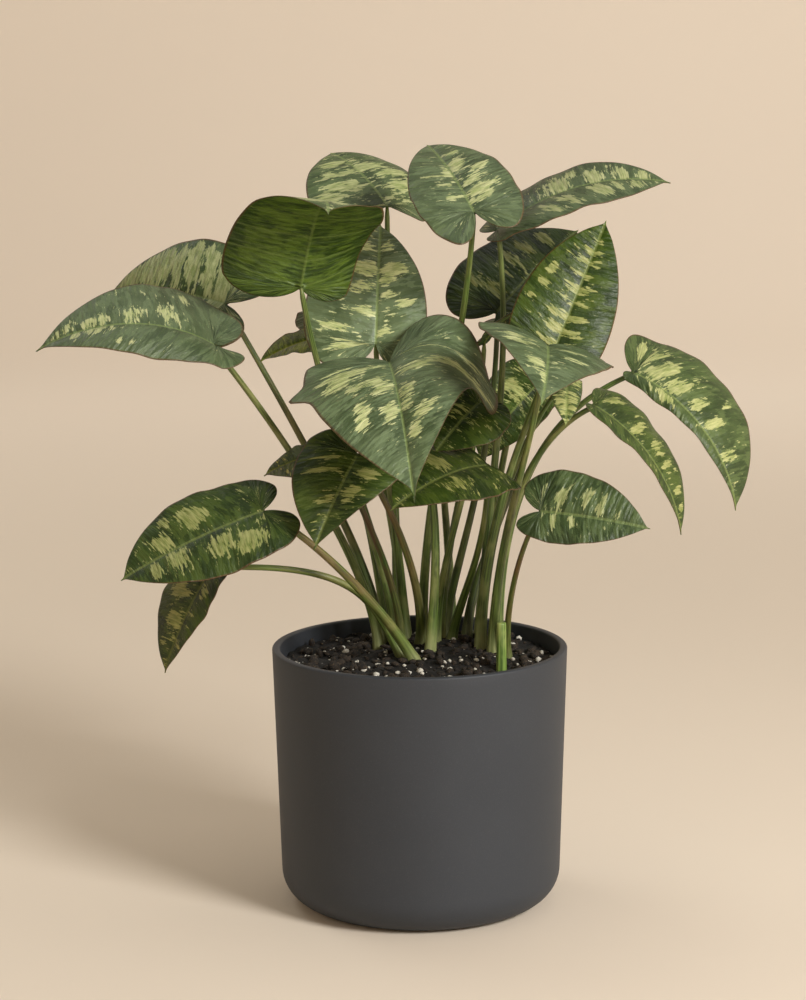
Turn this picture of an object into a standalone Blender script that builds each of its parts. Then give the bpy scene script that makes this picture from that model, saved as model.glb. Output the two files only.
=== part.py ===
"""A potted homalomena: a round pot, its soil, and heart-shaped leaves on long stalks.

Sizes are in millimetres, with the origin under the pot's middle, +Z up and the front towards -Y.
"""
import random

import bmesh
import bpy
import numpy as np

MM = 0.001
GAP = 0.3

# Pot
POT_HEIGHT = 150.0
POT_TOP_RADIUS = 85.0
POT_FOOT_RADIUS = 81.0
POT_WALL = 4.5
POT_FLOOR = 6.0
POT_EDGE_ROUNDING = 20.0
POT_LIP_ROUNDING = 1.2
POT_SEGMENTS = 56

# Soil
SOIL_LEVEL = 140.5
SOIL_MOUND = 6.0
SOIL_MOUND_SPREAD = 42.0
SOIL_ROUGHNESS = 0.9
SOIL_RINGS = 8
SOIL_SEGMENTS = 36
CROWN = (12.0, 22.0)

# Leaf stalks and the holes that they stand in
ROOT_DEPTH = 9.0
HOLE_CLEARANCE = 0.4
STALK = (3.2, 1.6)
STALK_SIDES = 7
STALK_STEPS = 11
STALK_END_RADIUS = 0.7
STALK_TAPER = 1.3

# Leaf blades
BLADE_THICKNESS = 0.7
RIB_RELIEF = 0.5
RIB_SWEEP = 1.4
# Half of a blade's outline from the notch round the lobe to the tip: half widths across, lengths along
HALF_OUTLINE = [(0.00, 0.00), (0.10, -0.09), (0.30, -0.18), (0.56, -0.20), (0.80, -0.12), (0.95, 0.02),
                (1.00, 0.18), (0.97, 0.36), (0.84, 0.55), (0.61, 0.73), (0.34, 0.88), (0.12, 0.965),
                (0.00, 1.00)]
FAN_END = 0.12
LOBE_BEND = 0.08
LOBE_REACH = 0.3
EDGE_WAVES = 1.8
EDGE_WAVE_HEIGHT = 1.0
RIB_STATIONS = (0.0, 0.5, 1.0)

# A cut-off stalk at the front
STUB_FOOT = (46.0, -26.0)
STUB_HEIGHT = 28.0
STUB_RADIUS = 3.2

COLOURS = {
    "pot": ((0.055, 0.057, 0.063), 0.62),
    "soil": ((0.022, 0.016, 0.012), 0.95),
    "leaf": ((0.055, 0.120, 0.035), 0.42),
    "stalk": ((0.120, 0.210, 0.055), 0.45),
}

# Each leaf: where the stalk meets the blade, the tip, the way the upper side faces, the half widths
# left and right of the midrib, the stalk's foot on the soil, and the handles that bend the stalk.
# Pairs of values are for the left and right halves. A point and a droop name one half (0 is left),
# then where along the blade its margin runs out or hangs down, over what length, and how far
LEAVES = [
    dict(name="far_left", joint=(-113, -35, 328), tip=(-204, -60, 330), faces=(-0.05, -0.5, 0.87),
         half=(26, 43), foot=(-24, 24), rise=(-3, 2, 45), drop=(40, 26, -56), arch=68, hang=0,
         lobe=(0.7, 1.0), curl=(50, 20), ears=(-22, 0), full=(0.1, -0.45)),
    dict(name="back_left", joint=(-110, 20, 346), tip=(-178, 60, 350), faces=(-0.1, -0.75, 0.65),
         half=(36, 42), foot=(-22, 34), rise=(-2, 0, 46), drop=(37, 8, -68), arch=35, lobe=1.2,
         ears=(0, 15)),
    dict(name="underside", joint=(-65, -20, 358), tip=(-47, -100, 405), faces=(0.1, 0.4, 0.9),
         half=(28, 46), foot=(-14, 28), rise=(-4, 0, 60), drop=(10, 34, -80), arch=104, lobe=(0.3, 0.45),
         hang=20, full=(0.0, -0.4), fold=-6, curl=-14, point=(0, 0.6, 0.22, 0.55)),
    dict(name="upright", joint=(-24, 12, 323), tip=(-21, 52, 387), faces=(0, -0.8, 0.6), half=(42, 29),
         foot=(-8, 40), rise=(-4, 0, 70), drop=(2, 8, -60), arch=30),
    dict(name="top_back", joint=(-17, 62, 399), tip=(-50, 110, 428), faces=(-0.1, -0.3, 0.95),
         half=(41, 44), foot=(-13, 58), rise=(0, 0, 90), drop=(0, 4, -90), arch=35, lobe=(0.3, 0.6),
         curl=(10, 45), fold=(4, 0), ears=(-15, 25)),
    dict(name="top", joint=(31, -30, 400), tip=(7, 40, 434), faces=(0, -0.6, 0.75), half=(30, 31),
         foot=(2, 50), rise=(0, 0, 90), drop=(-3, 54, -80), arch=25, lobe=(1.5, 1.2), full=(-0.15, 0.0)),
    dict(name="front", joint=(-16, -20, 316), tip=(-4, -120, 261), faces=(0, -0.5, 0.85), half=(63, 50),
         foot=(6, 6), rise=(8, 2, 85), drop=(24, 18, -55), arch=40, lobe=(1.35, 0.5), fold=(28, 4),
         curl=(60, 15), ears=(-14, 0), full=(-1.7, 0.0), point=(1, 0.29, 0.06, 0.2),
         droop=(0, 0.16, 0.22, 50)),
    dict(name="top_right", joint=(45, 0, 388), tip=(140, 10, 414), faces=(0, -0.15, 1.0), half=(29, 30),
         foot=(36, 24), rise=(2, 0, 90), drop=(10, 20, -90), arch=50, hang=0, lobe=0.4, twist=-25,
         full=(0, 0.25)),
    dict(name="dark_back", joint=(46, 32, 339), tip=(94, 75, 382), faces=(0, -0.7, 0.7), half=(38, 34),
         foot=(16, 56), rise=(-1, 0, 30), drop=(0, 10, -96), arch=20),
    dict(name="bright", joint=(75, -40, 325), tip=(105, -5, 391), faces=(0.1, -0.9, 0.4), half=(30, 26),
         foot=(35, 14), rise=(2, 0, 80), drop=(-14, 30, -50), arch=20, lobe=0.8, full=(0, -0.1)),
    dict(name="toward", joint=(70, -60, 329), tip=(64, -125, 308), faces=(0.3, -0.3, 0.9), half=(38, 40),
         foot=(42, 6), rise=(2, -2, 74), drop=(-6, 20, -60), arch=30, full=-1.1),
    dict(name="narrow", joint=(98, -28, 292), tip=(146, -36, 223), faces=(0.6, -0.4, 0.5), half=(28, 11),
         foot=(44, 16), rise=(0, 0, 80), drop=(-33, 6, -15), arch=55, lobe=(0.4, 0.2)),
    dict(name="far_right", joint=(122, 0, 307), tip=(179, -15, 233), faces=(0.5, -0.6, 0.6), half=(43, 9),
         foot=(46, 27), rise=(0, 0, 80), drop=(-54, 14, -23), arch=70, hang=0, lobe=(0.9, 0.2),
         curl=(25, 60), full=(0.2, 0)),
    dict(name="small_right", joint=(67, -50, 236), tip=(124, -65, 229), faces=(0, -0.85, 0.5),
         half=(26, 18), foot=(51, 2), rise=(-3, -6, 28), drop=(-11, 18, -20), arch=20, thick=(2.2, 1.4)),
    dict(name="under_toward", joint=(83, -14, 306), tip=(81, -46, 284), faces=(0.2, -0.5, 0.8),
         half=(9, 11), foot=(37, 36), rise=(4, 0, 80), drop=(-20, 30, -30), arch=30, lobe=0.6,
         thick=(2.4, 1.4)),
    dict(name="deep_right", joint=(71, 56, 294), tip=(37, 50, 251), faces=(-0.3, -0.6, 0.6),
         half=(22, 30), foot=(28, 46), rise=(4, 8, 50), drop=(-6, 6, -60), arch=30),
    dict(name="low_left", joint=(-34, -55, 269), tip=(-56, -85, 225), faces=(-0.1, -0.85, 0.5),
         half=(30, 30), foot=(0, 20), rise=(4, -6, 30), drop=(23, 26, -37), arch=30, full=(-1.4, 0)),
    dict(name="under_front", joint=(34, -7, 291), tip=(10, -28, 267), faces=(0, -0.7, 0.6),
         half=(24, 24), foot=(10, 26), rise=(2, -2, 60), drop=(-4, 14, -60), arch=25, thick=(2.6, 1.5)),
    dict(name="olive_low", joint=(-47, -33, 268), tip=(-85, -38, 256), faces=(0, -0.3, 0.95),
         half=(30, 16), foot=(-10, 12), rise=(-2, 0, 40), drop=(20, 14, -45), arch=25, thick=(2.6, 1.5)),
    dict(name="olive_high", joint=(-52, 46, 325), tip=(-91, 38, 311), faces=(0, 0.4, 0.9), half=(24, 24),
         foot=(-20, 46), rise=(-4, 2, 60), drop=(10, 2, -70), arch=30, thick=(2.6, 1.5)),
    dict(name="wide_left", joint=(-86, -60, 239), tip=(-161, -75, 205), faces=(-0.1, -0.7, 0.7),
         half=(31, 29), foot=(-4, -9), rise=(-13, -8, 26), drop=(33, 10, -19), arch=20, thick=(3.6, 1.7),
         full=(0.15, 0.3), lobe=(0.9, 0.8), ears=(0, 15)),
    dict(name="hang_left", joint=(-116, -35, 203), tip=(-143, -40, 146), faces=(-0.7, -0.6, 0.2),
         half=(15, 28), foot=(-11, 1), rise=(-16, -2, 30), drop=(86, 3, 3), arch=20, thick=(3.2, 1.6)),
    dict(name="low_centre", joint=(39, -18, 257), tip=(-14, -70, 242), faces=(0.1, -0.5, 0.85),
         half=(28, 32), foot=(19, 32), rise=(3, -6, 24), drop=(2, 22, -52), arch=40, full=0.1, lobe=0.1),
    dict(name="glossy", joint=(37, 6, 324), tip=(59, -19, 346), faces=(0, -0.3, 0.9), half=(10, 10),
         foot=(13, 40), rise=(2, 0, 70), drop=(-2, 24, -60), arch=30, lobe=0.5, thick=(2.6, 1.5)),
    dict(name="behind_left", joint=(-40, 78, 338), tip=(-52, 128, 306), faces=(-0.2, 0.5, 0.85),
         half=(30, 28), foot=(-8, 68), rise=(-4, 8, 70), drop=(6, 4, -50), arch=40),
    dict(name="behind_right", joint=(66, 74, 327), tip=(86, 128, 293), faces=(0.2, 0.5, 0.85),
         half=(30, 30), foot=(36, 60), rise=(2, 10, 60), drop=(-6, 12, -50), arch=40),
    dict(name="behind_low", joint=(12, 76, 286), tip=(10, 124, 261), faces=(0, 0.5, 0.85), half=(28, 28),
         foot=(20, 70), rise=(0, 6, 40), drop=(0, -14, -30), arch=40),
]


def unit(vector):
    vector = np.asarray(vector, float)
    return vector / np.linalg.norm(vector)


def blade_axes(leaf):
    """The blade's length, and its directions along the midrib, across it and out of its upper side."""
    chord = np.subtract(leaf["tip"], leaf["joint"]).astype(float)
    along = unit(chord)
    faces = np.array(leaf["faces"], float)
    up = unit(faces - faces.dot(along) * along)
    return np.linalg.norm(chord), along, np.cross(along, up), up


def side_value(leaf, key, default, side):
    """A leaf's value for its left (0) or right (1) half, where the halves may differ."""
    value = leaf.get(key, default)
    return value[side] if isinstance(value, tuple) else value


def outline_length(leaf, side, edge_y):
    """Where a point of the outline lies along the blade, with this half's own lobe and fullness."""
    if edge_y < 0:
        return edge_y * side_value(leaf, "lobe", 1.0, side)
    return edge_y ** (1 - side_value(leaf, "full", 0.0, side))


def outline_width(leaf, side, edge_x, edge_y):
    """A point's share of the half width, larger where this half's margin runs out to a point."""
    pointed_side, centre, spread, out = leaf.get("point", (0, 0.0, 1.0, 0.0))
    return edge_x * (1 + (pointed_side == side) * out * np.exp(-((edge_y - centre) / spread) ** 2))


def rib_foot(leaf, edge_y):
    """Where the rib to a point of the outline leaves the midrib, the same for both halves."""
    middle = (outline_length(leaf, 0, edge_y) + outline_length(leaf, 1, edge_y)) / 2
    return max(0.0, (middle - FAN_END) / (1 - FAN_END))


def blade_point(leaf, x, y):
    """A point of the flat blade, x mm across and y lengths along, on the arched and folded one."""
    length, along, across, up = blade_axes(leaf)
    arch = np.radians(leaf.get("arch", 30))
    radius = length / (2 * np.sin(arch / 2))
    bend = arch * (max(y, 0.0) - 0.5)
    behind = min(y, 0.0)
    slope = np.radians(leaf.get("hang", 12))
    if behind < 0:
        reach = -behind / LOBE_BEND
        slope += (arch / 2 - slope) * (1 - np.exp(-reach)) / reach
    run = radius * (np.sin(bend) + np.sin(arch / 2)) + behind * length * np.cos(slope)
    lift = radius * (np.cos(bend) - np.cos(arch / 2)) + behind * length * np.sin(slope)
    side = 1 if x > 0 else 0
    sign = 1 if x > 0 else -1
    half = leaf["half"][side]
    share = abs(x) / half
    lobe = min(max((LOBE_REACH - y) / (LOBE_REACH + 0.2), 0.0), 1.0)
    fold = side_value(leaf, "fold", 12, side) - side_value(leaf, "ears", 0, side) * lobe
    curl = side_value(leaf, "curl", 25, side)
    fold, turn = np.radians(fold), -np.radians(curl) / half
    out = sign * (np.sin(fold + turn * abs(x)) - np.sin(fold)) / turn
    rise = -(np.cos(fold + turn * abs(x)) - np.cos(fold)) / turn
    rise += EDGE_WAVE_HEIGHT * share ** 2 * np.sin(2 * np.pi * (EDGE_WAVES * y + 0.35 * side))
    drooping_side, centre, spread, down = leaf.get("droop", (0, 0.0, 1.0, 0.0))
    rise -= (drooping_side == side) * down * share ** 3 * np.exp(-((y - centre) / spread) ** 2)
    twist = np.radians(leaf.get("twist", 0)) * y
    out, rise = out * np.cos(twist) - rise * np.sin(twist), out * np.sin(twist) + rise * np.cos(twist)
    return (np.array(leaf["joint"], float) + run * along + lift * up + out * across
            + rise * (np.sin(bend) * along + np.cos(bend) * up))


def soil_height(x, y):
    """The soil's smooth height, a low mound round the plant's crown."""
    distance = np.hypot(x - CROWN[0], y - CROWN[1])
    return SOIL_LEVEL + SOIL_MOUND * np.exp(-(distance / SOIL_MOUND_SPREAD) ** 2)


def stalk_path(leaf, steps):
    """Points of a stalk from its buried foot up to the underside of its blade."""
    _, along, _, up = blade_axes(leaf)
    half_arch = np.radians(leaf.get("arch", 30)) / 2
    outward = np.cos(half_arch) * up - np.sin(half_arch) * along
    end = np.array(leaf["joint"], float) - outward * (BLADE_THICKNESS / 2 + STALK_END_RADIUS + GAP)
    ground = np.array([*leaf["foot"], soil_height(*leaf["foot"])])
    handle_low = ground + leaf["rise"]
    handle_high = end + leaf["drop"]
    t = np.linspace(0, 1, steps)[:, None]
    above = ((1 - t) ** 3 * ground + 3 * t * (1 - t) ** 2 * handle_low
             + 3 * t * t * (1 - t) * handle_high + t ** 3 * end)
    buried = ground - unit(leaf["rise"]) * ROOT_DEPTH
    return np.vstack([buried, above])


def stalk_radii(leaf, steps):
    foot_radius, top_radius = leaf.get("thick", STALK)
    t = np.linspace(0, 1, steps)
    radii = top_radius + (foot_radius - top_radius) * (1 - t) ** STALK_TAPER
    radii[-1] = STALK_END_RADIUS
    return np.concatenate([[foot_radius], radii])


def material(name, kind):
    colour, roughness = COLOURS[kind]
    made = bpy.data.materials.new(name)
    made.use_nodes = True
    shader = made.node_tree.nodes["Principled BSDF"]
    shader.inputs["Base Color"].default_value = (*colour, 1)
    shader.inputs["Roughness"].default_value = roughness
    shader.inputs["Metallic"].default_value = 0.0
    return made


def add_object(name, mesh, kind):
    item = bpy.data.objects.new(name, mesh)
    bpy.context.scene.collection.objects.link(item)
    mesh.materials.append(material(name, kind))
    return item


def mesh_of(name, points, faces):
    mesh = bpy.data.meshes.new(name)
    mesh.from_pydata([tuple(np.asarray(p) * MM) for p in points], [], faces)
    return mesh


def tube_mesh(name, path, radii, sides):
    """A closed tube of one ring of points round each point of the path."""
    ahead = np.gradient(path, axis=0)
    side = unit(np.cross(ahead[0], (0.3, 1.0, 0.1)))
    points, faces = [], []
    for centre, tangent, radius in zip(path, ahead, radii):
        tangent = unit(tangent)
        side = unit(side - side.dot(tangent) * tangent)
        other = np.cross(tangent, side)
        for i in range(sides):
            turn = 2 * np.pi * i / sides
            points.append(centre + radius * (np.cos(turn) * side + np.sin(turn) * other))
    for ring in range(len(path) - 1):
        for i in range(sides):
            a = ring * sides + i
            b = ring * sides + (i + 1) % sides
            faces.append((a, b, b + sides, a + sides))
    faces.append(tuple(reversed(range(sides))))
    faces.append(tuple(range(len(points) - sides, len(points))))
    return mesh_of(name, points, faces)


def turned_mesh(name, profile, segments):
    """A closed profile of (radius, height) pairs, spun round the Z axis."""
    bm = bmesh.new()
    ring = [bm.verts.new((r * MM, 0, z * MM)) for r, z in profile]
    edges = [bm.edges.new((a, b)) for a, b in zip(ring[:-1], ring[1:])]
    bmesh.ops.spin(bm, geom=ring + edges, cent=(0, 0, 0), axis=(0, 0, 1), angle=2 * np.pi,
                   steps=segments, use_merge=True)
    bmesh.ops.remove_doubles(bm, verts=bm.verts, dist=0.00001)
    bmesh.ops.recalc_face_normals(bm, faces=bm.faces)
    mesh = bpy.data.meshes.new(name)
    bm.to_mesh(mesh)
    bm.free()
    mesh.shade_smooth()
    mesh.set_sharp_from_angle(angle=0.6)
    return mesh


def build_pot():
    """A thin-walled round pot with a rounded lower edge and a soft lip."""
    def arc(radius, height, rounding, start, end, steps):
        angles = np.radians(np.linspace(start, end, steps))
        return [(radius + rounding * np.cos(a), height + rounding * np.sin(a)) for a in angles]

    edge = POT_EDGE_ROUNDING
    lip = POT_LIP_ROUNDING
    inner_edge = edge - POT_WALL
    foot = POT_FOOT_RADIUS - edge
    profile = [(0.0, 0.0)]
    profile += arc(foot, edge, edge, -90, 0, 6)
    profile += arc(POT_TOP_RADIUS - lip, POT_HEIGHT - lip, lip, 0, 90, 3)
    profile += arc(POT_TOP_RADIUS - POT_WALL + lip, POT_HEIGHT - lip, lip, 90, 180, 3)
    profile += arc(foot, POT_FLOOR + inner_edge, inner_edge, 0, -90, 4)
    profile += [(0.0, POT_FLOOR)]
    add_object("pot", turned_mesh("pot", profile, POT_SEGMENTS), "pot")


def inner_radius(height):
    """The pot's inside radius at a height above the rounded edge."""
    share = (height - POT_EDGE_ROUNDING) / (POT_HEIGHT - POT_EDGE_ROUNDING)
    return POT_FOOT_RADIUS - POT_WALL + share * (POT_TOP_RADIUS - POT_FOOT_RADIUS)


def build_soil():
    """The soil that fills the pot, with a rough mounded top and a hole for each stalk."""
    rough = random.Random(7)
    inner_edge = POT_EDGE_ROUNDING - POT_WALL
    foot = POT_FOOT_RADIUS - POT_EDGE_ROUNDING
    rim = inner_radius(SOIL_LEVEL) - GAP
    wall = [(inner_radius(POT_FLOOR + inner_edge) - GAP - 0.4, POT_FLOOR + inner_edge + 1),
            (foot + inner_edge * 0.64, POT_FLOOR + inner_edge * 0.29 + GAP),
            (foot, POT_FLOOR + GAP)]
    points = [(0.0, 0.0, soil_height(0, 0))]
    for ring in range(1, SOIL_RINGS + 1):
        radius = rim * ring / SOIL_RINGS
        for i in range(SOIL_SEGMENTS):
            turn = 2 * np.pi * i / SOIL_SEGMENTS
            x, y = radius * np.cos(turn), radius * np.sin(turn)
            points.append((x, y, soil_height(x, y) + rough.uniform(-1, 1) * SOIL_ROUGHNESS))
    for radius, height in wall:
        for i in range(SOIL_SEGMENTS):
            turn = 2 * np.pi * i / SOIL_SEGMENTS
            points.append((radius * np.cos(turn), radius * np.sin(turn), height))
    points.append((0.0, 0.0, POT_FLOOR + GAP))
    faces = []
    loops = SOIL_RINGS + len(wall)
    for i in range(SOIL_SEGMENTS):
        j = (i + 1) % SOIL_SEGMENTS
        faces.append((0, 1 + i, 1 + j))
        for loop in range(loops - 1):
            a, b = 1 + loop * SOIL_SEGMENTS + i, 1 + loop * SOIL_SEGMENTS + j
            faces.append((a, a + SOIL_SEGMENTS, b + SOIL_SEGMENTS))
            faces.append((a, b + SOIL_SEGMENTS, b))
        last = 1 + (loops - 1) * SOIL_SEGMENTS
        faces.append((last + j, last + i, len(points) - 1))
    soil = add_object("soil", mesh_of("soil", points, faces), "soil")
    holes = bpy.data.collections.new("stalk_holes")
    bpy.context.scene.collection.children.link(holes)
    for leaf in LEAVES:
        path = stalk_path(leaf, STALK_STEPS)
        up = unit(leaf["rise"])
        reach = np.array([path[1] - up * (ROOT_DEPTH + GAP), path[1], path[1] + up * ROOT_DEPTH])
        add_hole(holes, leaf["name"], reach, leaf.get("thick", STALK)[0])
    ground = np.array([*STUB_FOOT, soil_height(*STUB_FOOT)])
    reach = np.array([ground - (0, 0, ROOT_DEPTH + GAP), ground, ground + (0, 0, ROOT_DEPTH)])
    add_hole(holes, "stub", reach, STUB_RADIUS)
    cut = soil.modifiers.new("holes", "BOOLEAN")
    cut.operation = "DIFFERENCE"
    cut.operand_type = "COLLECTION"
    cut.collection = holes
    cut.solver = "EXACT"


def add_hole(holes, name, path, radius):
    cutter = bpy.data.objects.new("hole_" + name, tube_mesh("hole_" + name, path,
                                                            [radius + HOLE_CLEARANCE] * 3, STALK_SIDES))
    cutter.hide_render = True
    cutter.display_type = "WIRE"
    holes.objects.link(cutter)


def build_stub():
    """What is left of a stalk that was cut off, standing upright in the soil."""
    ground = np.array([*STUB_FOOT, soil_height(*STUB_FOOT)])
    heights = (-ROOT_DEPTH, 0.0, STUB_HEIGHT * 0.5, STUB_HEIGHT)
    path = np.array([ground + (0, 0, h) for h in heights])
    radii = [STUB_RADIUS, STUB_RADIUS, STUB_RADIUS * 0.94, STUB_RADIUS * 0.9]
    add_object("stalk_stub", tube_mesh("stalk_stub", path, radii, STALK_SIDES), "stalk")


def build_stalk(leaf):
    name = "stalk_" + leaf["name"]
    path = stalk_path(leaf, STALK_STEPS)
    mesh = tube_mesh(name, path, stalk_radii(leaf, STALK_STEPS), STALK_SIDES)
    mesh.shade_smooth()
    mesh.set_sharp_from_angle(angle=1.0)
    add_object(name, mesh, "stalk")


def build_blade(leaf):
    """One blade as a sheet of ribs that run from the midrib out to the edge, given its thickness."""
    points, faces, index = [], [], {}

    def corner(row, side, share):
        edge_x, edge_y = HALF_OUTLINE[row]
        foot_y = rib_foot(leaf, edge_y)
        edge_x = outline_width(leaf, 0 if side < 0 else 1, edge_x, edge_y)
        edge_y = outline_length(leaf, 0 if side < 0 else 1, edge_y)
        half = leaf["half"][0 if side < 0 else 1]
        x = edge_x * half * share
        y = foot_y + (edge_y - foot_y) * share ** RIB_SWEEP
        key = (round(side * x, 3) + 0.0, round(y, 5) + 0.0)
        if key not in index:
            index[key] = len(points)
            point = blade_point(leaf, side * max(x, 1e-6), y)
            if 0 < share < 1:
                point = point + blade_axes(leaf)[3] * RIB_RELIEF * (-1) ** row
            points.append(point)
        return index[key]

    for side in (-1, 1):
        for row in range(len(HALF_OUTLINE) - 1):
            for inner, outer in zip(RIB_STATIONS[:-1], RIB_STATIONS[1:]):
                a, b = corner(row, side, inner), corner(row, side, outer)
                c, d = corner(row + 1, side, outer), corner(row + 1, side, inner)
                for face in ((a, b, c), (a, c, d)):
                    if len(set(face)) == 3:
                        faces.append(face if side > 0 else face[::-1])
    name = "leaf_" + leaf["name"]
    mesh = mesh_of(name, points, faces)
    mesh.shade_smooth()
    blade = add_object(name, mesh, "leaf")
    body = blade.modifiers.new("thickness", "SOLIDIFY")
    body.thickness = BLADE_THICKNESS * MM
    body.offset = 0.0


def main():
    for item in list(bpy.data.objects):
        bpy.data.objects.remove(item, do_unlink=True)
    build_pot()
    build_soil()
    build_stub()
    for leaf in LEAVES:
        build_stalk(leaf)
        build_blade(leaf)


main()
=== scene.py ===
"""The looks of a potted homalomena: camouflage-patterned leaves, ribbed stalks, soil and a matt pot.

Sizes are in millimetres, as in the part's own source, and MM turns them into metres.
"""
import math
import random

import bmesh
import bpy
import numpy as np
from mathutils import Matrix, Vector, noise


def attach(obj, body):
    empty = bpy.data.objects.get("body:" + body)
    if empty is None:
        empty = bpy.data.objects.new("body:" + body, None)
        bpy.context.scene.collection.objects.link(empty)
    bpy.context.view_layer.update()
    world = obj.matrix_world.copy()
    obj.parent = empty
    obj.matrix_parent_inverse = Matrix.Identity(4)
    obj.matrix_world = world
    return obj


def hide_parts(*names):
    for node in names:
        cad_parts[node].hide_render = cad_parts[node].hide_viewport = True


MM = 0.001

# Pot
POT_HEIGHT = 150.0
POT_TOP_RADIUS = 85.0
POT_FOOT_RADIUS = 81.0
POT_WALL = 4.5
POT_FLOOR = 6.0
POT_EDGE_ROUNDING = 20.0
POT_LIP_ROUNDING = 1.2
POT_SEGMENTS = 144

# Soil
SOIL_LEVEL = 140.5
SOIL_MOUND = 6.0
SOIL_MOUND_SPREAD = 42.0
SOIL_RINGS = 62
SOIL_SEGMENTS = 200
SOIL_GAP = 0.3
SOIL_CLODS = 2.0
CLOD_SIZE = 11
HOLE_SIZE = 5
HOLE_DEPTH = 0.7
CROWN = (12.0, 22.0)
BARK_CHIPS = 560
BARK_SIZES = (1.8, 8.5)
BARK_ROUNDNESS = 0.4
PERLITE_GRAINS = 300
PERLITE_SIZES = (0.5, 4.2)
PERLITE_ROUNDNESS = 0.65
CRUMB_FINENESS = 1.6
CRUMB_ROUGHNESS = 0.45
CRUMB_RISE = 0.22
FIBRES = 130
FIBRE_LENGTHS = (5, 15)
FIBRE_RADII = (0.14, 0.4)
FOOT_CLEARANCE = 4.0

# Leaf stalks
ROOT_DEPTH = 9.0
STALK_SIDES = 14
STALK_STEPS = 44
STALK_TAPER = 1.3
STALK_END_GAP = 1.0
STALK_END_SHARE = 0.6
STALK_FLARE = 0.22
STALK_FLARE_REACH = 0.05
STALK_CHANNEL = 0.14
CHANNEL_WIDTH = 0.05

# Leaf blades
MARGIN_HALF_THICKNESS = 0.16
BLADE_HALF_THICKNESS = 0.3
RIB_DEPTH = 1.5
RIB_WIDTH = 1.5
RIB_GROOVE = 0.3
VEIN_RELIEF = 0.55
RELIEF_FADE = 6.0
VEINS = 10.5
# Half of a blade's outline from the notch round the lobe to the tip: half widths across, lengths along
HALF_OUTLINE = [(0.00, 0.00), (0.10, -0.09), (0.30, -0.18), (0.56, -0.20), (0.80, -0.12), (0.95, 0.02),
                (1.00, 0.18), (0.97, 0.36), (0.84, 0.55), (0.61, 0.73), (0.33, 0.88), (0.12, 0.965),
                (0.035, 1.0), (0.00, 1.035)]
OUTLINE_STEPS = 7
# Shares of the way from the midrib to the margin, closest together near both
SHARES = np.array([0, 0.012, 0.03, 0.06, 0.11, 0.17, 0.24, 0.31, 0.39, 0.47, 0.55, 0.63, 0.71, 0.79, 0.86,
                   0.92, 0.965, 1.0])
# As shares of the blade's length: where the veins stop fanning out from the joint, over what stretch
# the lobes bend down behind it, and how far along the ears reach
FAN_END = 0.12
LOBE_BEND = 0.08
LOBE_REACH = 0.3
EDGE_WAVES = 1.8
RIPPLES = 4.7
RIPPLE_HEIGHT = 0.5
RIB_SWEEP = 1.4
RIB_TAPER = 0.8

# How far apart leaves, and stalks, lie in the noise that marks them
LEAF_SHIFT = 37.7
STALK_SHIFT = 11.3

# A cut-off stalk at the front
STUB_FOOT = (46.0, -26.0)
STUB_HEIGHT = 28.0
STUB_RADIUS = 3.2
STUB_SEED = 91
STUB_LIGHT = 1.45

# Camera and lights, in metres
CAMERA_PLACE = (-0.009, -1.4803, 0.4771)
CAMERA_AIM = (-0.009, 0.0, 0.2347)
CAMERA_ROLL = -0.4
CAMERA_LENS = 94.5
CAMERA_SENSOR = 36.0
STAGE_RADIUS = 3.2
STAGE_CURVE = 1.2
STAGE_WALL = 2.6
STAGE_SEGMENTS = 96
STAGE_GLOW = 0.455
# The floor's glow begins and is full at these distances, and grows between these places along X
# from its share on the left to all of it
STAGE_GLOW_FROM = (0.6, 2.6)
STAGE_SIDES = (-2.0, 1.2)
STAGE_GLOW_LEFT = 0.58
LAMP_AIM = (0.0, 0.0, 0.2)
# Each lamp: its name, place, size, power in watts and colour
LAMPS = [
    ("key_lamp", (1.4, -1.45, 1.3), 0.75, 54.0, (1.0, 0.985, 0.96)),
    ("fill_lamp", (-1.6, -1.7, 1.3), 1.8, 1.5, (1.0, 0.94, 0.85)),
    ("top_lamp", (0.3, 0.3, 2.1), 1.6, 7.0, (1.0, 0.98, 0.94)),
    ("back_lamp", (-1.1, 1.0, 1.9), 1.0, 7.0, (0.97, 1.0, 0.97)),
]
ROOM_COLOUR = (240, 220, 190)
ROOM_STRENGTH = 0.14

# What lies in the pot: its dark, middle and pale tones, the scale of its clumps, and its roughness
EARTH = {
    "dark_soil": ((7, 6, 4), (17, 14, 10), (50, 42, 30), 240.0, 0.95),
    "bark": ((12, 9, 6), (40, 31, 21), (104, 86, 60), 220.0, 0.85),
    "perlite": ((186, 182, 168), (216, 212, 200), (236, 233, 224), 420.0, 0.9),
}

# What a leaf has where its row below says nothing, with angles in degrees. Arch is how far the midrib
# bends from joint to tip, hang how steeply the lobes hang behind the joint, fold how steeply a half
# rises from the midrib, curl how far it bends down again towards the margin, ears how far the lobes
# turn down from the fold, and twist how far the tip is turned. Lobe is the lobes' share of their full
# length, full moves the widest part towards the tip, and thick is the stalk's radius at both ends.
# A point and a droop name one half (0 is left), then where along the blade its margin runs out or
# hangs down, over what length, and how far
PLAIN_LEAF = dict(arch=30, hang=12, fold=12, curl=25, ears=0, twist=0, lobe=1.0, full=0.0, thick=(3.2, 1.6),
                  point=(0, 0.0, 1.0, 0.0), droop=(0, 0.0, 1.0, 0.0))

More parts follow.
